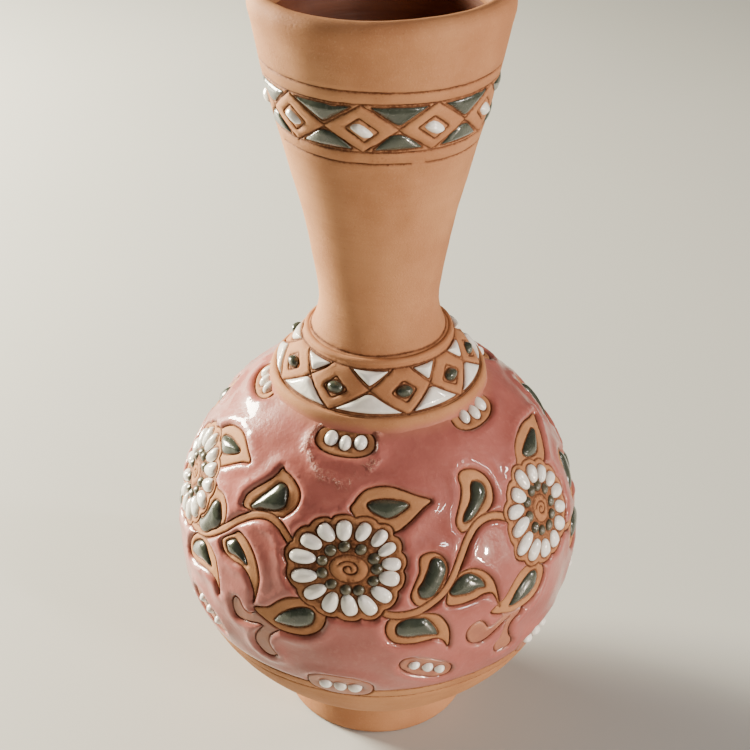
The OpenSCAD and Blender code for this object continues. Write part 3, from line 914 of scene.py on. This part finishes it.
class Flower:
    """The petals, beads and scalloped ground of one flower."""

    def __init__(self, unit):
        self.az, self.lat = FLOWER_AT[unit]
        source = np.random.default_rng(40 + unit)
        petals = MEASURED_PETALS.get(unit) or self.random_petals(source)
        self.petals = [oval(self.place(middle, middle, turn), long + 0.25, broad + 0.2, turn + lean,
                            egg=0.14, square=2.25) for turn, middle, long, broad, lean in petals]
        self.tips = sorted((turn % 360, middle + long) for turn, middle, long, _, _ in petals)
        self.ring = BEAD_RING.get(unit, PLAIN_BEAD_RING)
        count = 10 + unit % 2
        spin = source.uniform(0, 36)
        self.beads = []
        for i in range(count):
            shake = source.uniform(-0.2, 0.2)
            centre = self.place(self.ring[0] + shake, self.ring[1] + shake,
                                spin + 360 * i / count + source.uniform(-4, 4))
            self.beads.append(oval(centre, source.uniform(1.95, 2.2), source.uniform(1.75, 2.0), spin))
        self.ground = self.scallops()

    @staticmethod
    def random_petals(source, count=14):
        """Petals for a flower on the far side, with the spread of sizes that the near ones have."""
        spin = source.uniform(0, 20)
        return [(spin + (i + source.uniform(-0.13, 0.13)) * 360 / count, source.uniform(13.0, 13.9),
                 source.uniform(3.6, 4.4), source.uniform(2.35, 2.7), source.uniform(-10, 10))
                for i in range(count)]

    def place(self, wide, high, turn):
        """Azimuth and latitude of a place on an oval round the flower's centre, in true millimetres."""
        a = math.radians(turn)
        per = globe_chart.per_degree
        lat = self.lat + high * math.sin(a) / per
        return (self.az + wide * math.cos(a) / per / math.cos(math.radians(lat)), lat)

    def scallops(self):
        """The cut round the flower: a bow outside each petal."""
        turns, reaches = np.array(self.tips).T
        points = []
        for turn in np.arange(0, 360, 2.0):
            gaps = np.abs((turn - turns + 180) % 360 - 180)
            nearest, second = np.argsort(gaps)[:2]
            share = gaps[second] / (gaps[nearest] + gaps[second])
            bow = max(math.sin((share - 0.5) * math.pi), 0) ** 0.6
            reach = share * reaches[nearest] + (1 - share) * reaches[second] + 0.6 + 1.45 * bow
            points.append(self.place(reach, reach, turn))
        return globe_chart.flat(points)

    def disc(self):
        """The cut round the middle disc, inside the beads."""
        wide, high = self.ring[0] - 2.9, self.ring[1] - 2.7
        return globe_chart.flat([self.place(wide, high, turn) for turn in range(0, 360, 8)])

    def spiral(self):
        """The small spiral cut in the middle."""
        wide, high = 3.1 * (self.ring[0] / PLAIN_BEAD_RING[0]), 2.9
        return globe_chart.flat([self.place(wide * (1 - t / 620), high * (1 - t / 620), 150 - t)
                                 for t in np.linspace(0, 500, 60)])


globe = Carving(globe_chart, FOOT_JOINT_LAT * globe_chart.per_degree,
                COLLAR_JOINT_LAT * globe_chart.per_degree)
flowers = [Flower(unit) for unit in range(len(FLOWER_AT))]
leaf_cells = [[] for _ in flowers]
dot_cells = {kind: [] for kind in PILLS}


def wandering(azimuth, latitude):
    """A turned line's latitude where it wanders a little on its way round."""
    slow = np.sin(np.radians(azimuth * 3 + latitude))
    return latitude + 0.22 * slow + 0.12 * np.sin(np.radians(azimuth * 7))


def draw_flower(unit):
    """Cuts one flower and the two leaves that grow from it."""
    piece = f"flower_{unit + 1}"
    flower = flowers[unit]
    globe.ground(piece, flower.ground)
    for outline in [*flower.petals, *flower.beads, flower.disc()]:
        globe.cut(outline, rows=1, step=FINE_STEP)
    globe.cut(flower.spiral(), closed=False, rows=2)
    for cell, ground in ((TOP_LEAF, TOP_LEAF_GROUND), (LOW_LEAF, LOW_LEAF_GROUND)):
        globe.ground(piece, placed(ground, unit), hidden_by=[flower.ground])
        leaf_cells[unit].append(placed(cell, unit))


def draw_sprig(unit):
    """Cuts the sprig on the flower's right, which passes behind both flowers."""
    piece = f"sprig_{unit + 1}"
    after = flowers[(unit + 1) % len(flowers)].ground
    if unit == len(flowers) - 1:
        after = after + [globe_chart.turn, 0]
    pointed = unit == 0
    leaves, grounds = (POINTED_LEAVES, POINTED_GROUNDS) if pointed else (SPRIG_LEAVES, SPRIG_GROUNDS)
    middle = placed(POINTED_STEM if pointed else SPRIG_STEM, unit, closed=False, nudged=not pointed)
    stem = ribbon(globe_chart, middle, STEM_HALF)
    ends = [flowers[unit].ground, after]
    globe.ground(piece, stem, hidden_by=ends)
    for cell, ground in zip(leaves, grounds):
        globe.ground(piece, placed(ground, unit, nudged=not pointed), hidden_by=[stem, *ends])
        leaf_cells[unit].append(placed(cell, unit, nudged=not pointed))


def draw_buds(unit):
    """Cuts the two buds that hang from the low leaf, and run into each other."""
    pair = [placed(bud, unit) for bud in (GLAZED_BUDS if unit == 2 else BUDS)]
    for bud, other in (pair, pair[::-1]):
        globe.ground(f"buds_{unit + 1}", bud, hidden_by=[placed(LOW_LEAF_GROUND, unit), other])


def draw_pills(unit):
    """Cuts the three pills of a unit, and a ring for each of their dots."""
    for kind, (pill, dots) in PILLS.items():
        nudge = PILL_NUDGE[unit] if kind == "shoulder" else (0.0, 0.0)
        globe.ground("pills_" + kind, pill_outline(unit, pill, nudge))
        wide, high = DOT_SIZE[kind]
        for az, lat in dots:
            at = (FLOWER_AT[unit][0] + az + nudge[0], lat + nudge[1])
            dot = oval(at, wide * rng.uniform(0.92, 1.05), high * rng.uniform(0.92, 1.08),
                       rng.uniform(-12, 12))
            dot_cells[kind].append(dot)
            globe.cut(dot, rows=1)


def draw_hem():
    """Cuts the two turned lines below the glaze."""
    azimuths = np.arange(-180, 180.5, 0.5)
    hidden = [pill_outline(unit, PILLS["hem"][0]) for unit in range(len(flowers))]
    for latitude in (HEM_LAT, HEM_LINE_LAT):
        line = np.stack([azimuths, wandering(azimuths, latitude)], 1)
        globe.cut(globe_chart.flat(line), closed=False, rows=2, hidden_by=hidden)


def draw_globe():
    """Cuts the whole drawing into the globe. What comes first lies over what comes later."""
    units = range(len(flowers))
    for unit in units:
        draw_flower(unit)
    for unit in units:
        draw_sprig(unit)
        draw_buds(unit)
        for outline in leaf_cells[unit]:
            globe.cut(outline, rows=2)
        draw_pills(unit)
    draw_hem()


NODE_OF = {"glaze_skin": "pink_glaze", "globe_clay": "globe"}
FINISH_OF = {"glaze_skin": PINK, "pills_waist": THIN_GLAZE, "pills_hem": THIN_GLAZE}
FINISH_OF.update({f"buds_{unit + 1}": THIN_GLAZE for unit in range(len(flowers))})


def build_globe():
    """Triangulates the globe and splits it into the clay, the glaze and each carved ground."""
    (points, tris, centres), tree = globe.triangulate(coarse=2.1)
    distance = globe.distances(tree, points)
    per = globe_chart.per_degree
    owner = np.full(len(tris), "", dtype=object)
    bare = points[:, 1] / per < wandering(points[:, 0] / per, HEM_LAT)
    for piece, outline in globe.grounds:
        for shift in (-globe_chart.turn, 0, globe_chart.turn):
            moved = outline + [shift, 0]
            owner[(owner == "") & inside(centres, moved)] = piece
            bare |= inside(points, moved)
    below_hem = centres[:, 1] / per < wandering(centres[:, 0] / per, HEM_LAT)
    owner[(owner == "") & below_hem] = "globe_clay"
    owner[owner == ""] = "glaze_skin"
    where = globe_chart.wrap(points)
    lift = np.where(bare, clay_lift(where, distance), glaze_lift(where, distance, points[:, 1] / per))
    verts = globe_chart.wrap(points, lift + body_lift(where))
    cut, crawl = np.minimum(distance, FAR_FROM_CUT), crawled(where)
    for piece in sorted(set(owner)):
        used, corners = np.unique(tris[owner == piece], return_inverse=True)
        name = piece if piece in NODE_OF else piece + "_ground"
        add_piece(name, verts[used], corners.reshape(-1, 3), FINISH_OF.get(piece, CLAY), NODE_OF.get(piece),
                  cut=cut[used], crawl=crawl[used])


def fill_globe():
    """Pours the enamel into every cell on the globe."""
    for unit, flower in enumerate(flowers):
        label = str(unit + 1)
        node = f"flower_{label}_"
        pour("petals_" + label, node + "petals", globe_chart, flower.petals, WHITE, height=1.1, edge=2.1)
        pour("beads_" + label, node + "beads", globe_chart, flower.beads, BEAD, height=0.6, edge=1.6,
             inset=0.08)
        for kind, leaves in (("flower", leaf_cells[unit][:2]), ("sprig", leaf_cells[unit][2:])):
            pour(f"{kind}_leaves_{label}", f"{kind}_{label}_leaves", globe_chart, leaves, GREEN,
                 height=0.85, edge=2.4, crown=0.5)
    for kind, outlines in dot_cells.items():
        pour(kind + "_dots", kind + "_pill_dots", globe_chart, outlines, WHITE, height=1.3, edge=2.0)


# ---------------------------------------------------------------- the drawing on the collar and the neck
# Outlines on turned walls are (azimuth in degrees, height in millimetres). Azimuths are counted from a
# diamond, or from the place half way to the next.

DIAMOND_AT = (-68.5, -28.0, 16.5, 52.0, 87.0, 125.0, 164.0, 204.0, 248.5)
BAND_AT = (-47.5, -9.0, 27.0, 63.5, 99.0, 136.0, 172.0, 208.0, 243.5, 277.5)
PANEL = ((36.6, 150.2), (34.6, 153.1), (31.6, 157.2), (28.8, 161.0), (26.6, 163.8), (25.3, 165.3))
NECK = ((24.3, 166), (22.9, 168), (21.8, 171), (20.9, 176), (20.95, 181), (21.6, 186), (22.4, 191),
        (23.2, 196), (24, 201), (24.9, 206), (25.9, 211), (27, 216), (28.1, 220.6), (29.3, 225.6),
        (30.5, 230.5), (31.7, 235.5), (33, 240.5), (34.2, 245.4), (35.4, 250.4), (36.5, 255.3),
        (37.6, 260.3), (38.5, 265), (39.5, 270), (40.4, 275.5))


SHAKE_TURN = 1.6   # degrees round the wall for each millimetre that a hand shakes


def hand_drawn(chart, at, corners, shake, rounding=0.9):
    """A closed outline with straight sides, its corners moved a little in millimetres and then softened."""
    p = chart.flat([(at + az + SHAKE_TURN * rng.uniform(-shake, shake), z + rng.uniform(-shake, shake))
                    for az, z in corners])
    out = []
    for before, here, after in zip(np.roll(p, 1, axis=0), p, np.roll(p, -1, axis=0)):
        into, away = before - here, after - here
        a = here + into * min(rounding / np.linalg.norm(into), 0.4)
        b = here + away * min(rounding / np.linalg.norm(away), 0.4)
        out += [a * (1 - t) ** 2 + here * 2 * t * (1 - t) + b * t**2 for t in (0.0, 0.5, 1.0)]
    return np.array(out)


def oval_on(chart, place, half_wide, half_high):
    """An oval in millimetres round a place on a turned wall."""
    at = chart.flat([place])[0]
    t = np.radians(np.arange(0, 360, 12))
    wide = half_wide / float(chart.squeeze(at[1]))
    return at + np.stack([wide * np.cos(t), half_high * np.sin(t)], 1)


def cross(carving, at, gap, inset, height, middle, spread):
    """Cuts two strokes by hand from one height, which meet at another half way to the next diamond."""
    meeting = (at + gap / 2, middle)
    for a, b in (((at + inset, height), meeting), (meeting, (at + gap - inset, height))):
        line = np.linspace(a, b, 9) + rng.uniform(-0.12, 0.12, (9, 2)) * [spread, 1]
        carving.cut(carving.chart.flat(line), closed=False, rows=2)


def turned_line(carving, height, sway=0.0, rows=2, start=-180, end=181):
    """Cuts a line round a turned wall, which rises and falls a little."""
    azimuths = np.arange(start, end, 1.0)
    drift = sway * np.sin(np.radians(azimuths + 20)) + 0.12 * np.sin(np.radians(azimuths * 5 + height))
    carving.cut(carving.chart.flat(np.stack([azimuths, height - drift], 1)), closed=False, rows=rows)


def turned_clay(carving, piece, node, coarse):
    """Triangulates a carved turned wall as one piece of clay."""
    (points, tris, _), tree = carving.triangulate(coarse)
    distance = carving.distances(tree, points)
    where = carving.chart.wrap(points)
    verts = carving.chart.wrap(points, clay_lift(where, distance) + body_lift(where))
    add_piece(piece, verts, tris, CLAY, node, cut=np.minimum(distance, FAR_FROM_CUT))


def build_collar():
    """The sloping panel with its row of diamonds between white triangles."""
    chart = TurnedChart(smooth_profile(PANEL, step=0.8))
    carving = Carving(chart, 0.0, chart.reach)
    upper, lower, studs = [], [], []
    for at, gap in zip(DIAMOND_AT, gaps_after(DIAMOND_AT)):
        wing = gap / 2
        side = at + wing
        top = ((8.4 - wing, 163.1), (wing - 8.4, 163.1), (0.6, 158.9), (-0.6, 158.9))
        base = ((2.4 - wing, 151.2), (wing - 2.4, 151.2), (1.8, 156.7), (-1.8, 156.7))
        diamond = ((-8.6, 157.0), (0.3, 153.9), (8.2, 157.3), (-0.4, 160.2))
        upper.append(hand_drawn(chart, side, top, shake=0.15))
        lower.append(hand_drawn(chart, side, base, shake=0.15))
        carving.cut(hand_drawn(chart, at, diamond, shake=0.25, rounding=0.8), rows=2)
        studs.append(oval_on(chart, (at, 157.1), half_wide=3.1, half_high=2.25))
        cross(carving, at, gap, inset=0.6, height=150.7, middle=157.7, spread=2.5)
        cross(carving, at, gap, inset=6.0, height=163.5, middle=157.8, spread=2.5)
    for outline in upper + lower:
        carving.cut(outline, rows=2)
    for outline in studs:
        carving.cut(outline, rows=1)
    for height in (150.75, 163.45):
        turned_line(carving, height, rows=1)
    turned_clay(carving, "collar_panel", "collar", coarse=1.5)
    pour("collar_upper_white", "collar_white_upper", chart, upper, WHITE, height=0.8)
    pour("collar_lower_white", "collar_white_lower", chart, lower, WHITE, height=0.8)
    pour("collar_studs", "collar_green_studs", chart, studs, GREEN, height=1.4, edge=2.2)


def build_neck():
    """The flaring neck with its band of diamonds between green triangles."""
    chart = TurnedChart(smooth_profile(NECK, step=1.2))
    carving = Carving(chart, 0.0, chart.reach)
    upper, lower, white = [], [], []
    for at, gap in zip(BAND_AT, gaps_after(BAND_AT)):
        wing = gap / 2
        side = at + wing
        top = ((3.4 - wing, 259.0), (wing - 3.4, 259.0), (1.2, 253.0), (-1.2, 253.0))
        base = ((4.2 - wing, 244.6), (wing - 4.2, 244.6), (3.4, 249.9), (-3.2, 250.0))
        dot = ((-7.2, 252.4), (-1.0, 254.5), (7.4, 250.4), (1.4, 248.3))
        ring = ((-8.4, 252.0), (-1.0, 255.4), (8.4, 250.9), (1.2, 247.3))
        upper.append(hand_drawn(chart, side, top, shake=0.25))
        lower.append(hand_drawn(chart, side, base, shake=0.25, rounding=1.2))
        white.append(hand_drawn(chart, at, dot, shake=0.3, rounding=2.0))
        carving.cut(hand_drawn(chart, at, ring, shake=0.2, rounding=0.45), rows=2)
        cross(carving, at, gap, inset=0.0, height=259.9, middle=251.8, spread=2.0)
        cross(carving, at, gap, inset=0.0, height=243.6, middle=251.2, spread=2.0)
    for outline in upper + lower:
        carving.cut(outline, rows=2)
    for height, sway in ((264.1, 0.5), (260.0, 0.2), (243.7, 0.25)):
        turned_line(carving, height, sway)
    for start, end in ((-64, 18), (26, 75), (96, 170), (188, 270)):
        turned_line(carving, 239.6, sway=0.6, start=start, end=end)
    turned_line(carving, 166.75, rows=1)
    turned_clay(carving, "neck_wall", "neck", coarse=2.4)
    pour("neck_upper_green", "neck_green_upper", chart, upper, GREEN, height=0.45, edge=1.6, crown=0.25)
    pour("neck_lower_green", "neck_green_lower", chart, lower, GREEN, height=0.45, edge=1.6, crown=0.25)
    pour("neck_diamonds", "neck_white_diamonds", chart, white, WHITE, height=1.25, edge=2.0)


# ---------------------------------------------------------------- turned pieces

def fixed_base(places):
    """The shared unevenness, fading out at the table so that the foot stands flat."""
    return body_lift(places) * smoothstep(0.5, 9.0, places[:, 2])


def thrown(places):
    """The unevenness of bare turned clay."""
    return body_lift(places) + 0.05 * clay_dent(places)


def coiled(places):
    """The shared unevenness and the finger marks on a coil of clay."""
    return body_lift(places) + 0.12 * clay_dent(places * 0.6)


def arc(centre, radii, angles):
    """Points of an ellipse arc as (r, z)."""
    a = np.radians(angles)
    return np.stack([centre[0] + radii[0] * np.cos(a), centre[1] + radii[1] * np.sin(a)], 1)


def add_foot():
    side = smooth_profile([(35.3, 0.05), (36.3, 0.45), (36.75, 1.8), (36.35, 5.0), (35.75, 9.0),
                           (35.9, 12.0), (37.0, 15.2), (38.35, 17.75)], step=0.7)
    under = [(37.0, 18.6), (34.0, 17.6), (0.5, 12.0), (0.5, 2.6), (16.0, 2.55), (28.0, 2.5), (29.0, 2.2),
             (29.8, 1.2), (30.6, 0.3), (31.4, 0.0), (34.6, 0.0)]
    lathe("foot_ring", np.vstack([side, under]), CLAY, "foot", fixed_base)


def add_coils():
    """The coil at the bottom of the collar and the bead where the neck was joined on."""
    outside = smooth_profile([(36.0, 149.5), (36.4, 150.3), (37.0, 150.5), (37.8, 150.05), (38.4, 149.0),
                              (38.65, 147.8), (38.75, 146.9), (39.0, 146.0), (39.4, 145.1)], step=0.35)
    tucked = [(38.6, 145.0), (37.2, 145.8), (36.0, 147.0)]
    lathe("collar_coil", np.vstack([outside, tucked])[::-1], COIL_CLAY, "collar_border", coiled)
    bead = arc((24.85, 164.75), (1.3, 1.25), np.linspace(-70, 112, 18))
    lathe("bead_coil", np.vstack([[(24.0, 163.6)], bead, [(23.8, 165.8)]]), CLAY, "neck_bead", coiled)


def add_lip():
    roll = (3.6, 4.6)
    outside = smooth_profile([(38.9, 270.6), (39.7, 273.0), (40.42, 275.4), (40.85, 277.4),
                              (41.2, 278.8)], step=0.6)
    top = arc((37.75, TOTAL_H - roll[1]), roll, np.linspace(-8, 176, 34))
    inside_edge = [(34.1, 279.0), (34.0, 276.5), (36.5, 272.4)]
    lathe("lip_roll", np.vstack([outside, top, inside_edge]), CLAY, "lip", thrown)


def add_inside():
    """The wall that shows through the mouth, as a thin shell down the neck and round the globe."""
    throat = smooth_profile([(34.35, 280.0), (34.2, 276.0), (32.2, 262.0), (28.0, 245.0), (22.8, 225.6),
                             (18.2, 206.0), (15.2, 186.0), (14.6, 176.0), (14.9, 166.3), (16.2, 160.0),
                             (18.6, 154.0), (24.0, 146.6)], step=1.6)
    inner_r, outer_r = 68.7, 70.2
    cavity = arc((0, GLOBE_Z), (inner_r, inner_r), np.arange(60, -70, -4))
    floor_line = [(18.0, 13.3), (8.0, 13.1), (0.5, 13.1), (0.5, 12.9), (20.0, 13.0)]
    shell = arc((0, GLOBE_Z), (outer_r, outer_r), np.arange(-70, 68, 4))
    back = [(20.2, 154.6), (17.8, 160.6), (16.4, 166.5), (16.1, 176.0), (16.7, 186.0), (19.7, 206.0),
            (24.4, 225.6), (29.6, 245.0), (33.8, 262.0), (35.4, 276.0)]
    profile = np.vstack([throat, cavity, floor_line, shell, back])[::-1]
    lathe("inner_wall", profile, INSIDE, None, lambda places: 0.5 * body_lift(places), turns=240)


# ---------------------------------------------------------------- camera, light and floor

LENS = 63.43                               # millimetres, on a sensor 36 mm wide
CAMERA_AT = (0, -403.1, 398.15)
PITCH, YAW, ROLL = 32.204, -0.183, 0.287   # how far the camera looks down, turns and leans

LIGHT_TARGET = Vector((0, 0, 0.12))        # metres, in the upper half of the globe
# Each light: its place and its width and height in metres, its power and its colour.
LIGHTS = {
    "window": ((-1.18, 0.68, 0.50), (0.4, 0.55), 136, (1.0, 0.92, 0.72)),
    "lamp": ((1.06, -0.66, 0.17), (0.05, 0.05), 13.5, (1.0, 0.84, 0.68)),
    "strip": ((0.78, -0.84, 0.70), (0.05, 0.36), 5.5, (1.0, 0.93, 0.86)),
    "side_window": ((1.30, -0.17, 0.78), (0.07, 0.32), 9.5, (1.0, 0.92, 0.84)),
}
FLOOR_REACH = 6.0                          # metres from the vase to the floor's edge
SKY_COLOUR = (0.93, 0.96, 1.0, 1.0)
SKY_STRENGTH = 0.06


def add_camera():
    """The photo's camera, as fitted to the vase's outline and rings."""
    data = bpy.data.cameras.new("camera")
    data.lens = LENS
    data.sensor_width = 36
    data.clip_start = 0.02
    camera = in_scene("camera", data)
    pitch, yaw, roll = math.radians(PITCH), math.radians(YAW), math.radians(ROLL)
    look = Vector((math.sin(yaw) * math.cos(pitch), math.cos(yaw) * math.cos(pitch), -math.sin(pitch)))
    right = look.cross(Vector((0, 0, 1))).normalized()
    up = right.cross(look)
    tilted_right = right * math.cos(roll) + up * math.sin(roll)
    tilted_up = up * math.cos(roll) - right * math.sin(roll)
    axes = Matrix((tilted_right, tilted_up, -look)).transposed()
    camera.matrix_world = Matrix.Translation(Vector(CAMERA_AT) * MM) @ axes.to_4x4()
    bpy.context.scene.camera = camera


def add_light(name, at, size, power, colour):
    data = bpy.data.lights.new(name, "AREA")
    data.shape = "RECTANGLE"
    data.size, data.size_y = size
    data.energy = power
    data.color = colour
    light = in_scene(name, data)
    light.location = at
    light.rotation_euler = (LIGHT_TARGET - Vector(at)).to_track_quat("-Z", "Y").to_euler()


def add_floor():
    mesh = bpy.data.meshes.new("floor")
    corners = [(x * FLOOR_REACH, y * FLOOR_REACH, 0) for x, y in ((-1, -1), (1, -1), (1, 1), (-1, 1))]
    mesh.from_pydata(corners, [], [(0, 1, 2, 3)])
    n = Nodes("floor")
    shade = n.ramp(n.noise(1.7, 2, 0.4), 0.3, 0.7)
    n.link(n.mix(shade, rgb(180, 181, 178), rgb(188, 188, 184)), n.shader.inputs["Base Color"])
    n.shader.inputs["Roughness"].default_value = 0.6
    mesh.materials.append(n.material)
    in_scene("floor", mesh)


def add_sky():
    world = bpy.data.worlds.new("studio")
    world.use_nodes = True
    background = world.node_tree.nodes["Background"]
    background.inputs["Color"].default_value = SKY_COLOUR
    background.inputs["Strength"].default_value = SKY_STRENGTH
    bpy.context.scene.world = world


# ---------------------------------------------------------------- the whole scene

draw_globe()
build_globe()
fill_globe()
build_collar()
build_neck()
add_foot()
add_coils()
add_lip()
add_inside()

add_camera()
for name, (at, size, power, colour) in LIGHTS.items():
    add_light(name, at, size, power, colour)
add_floor()
add_sky()
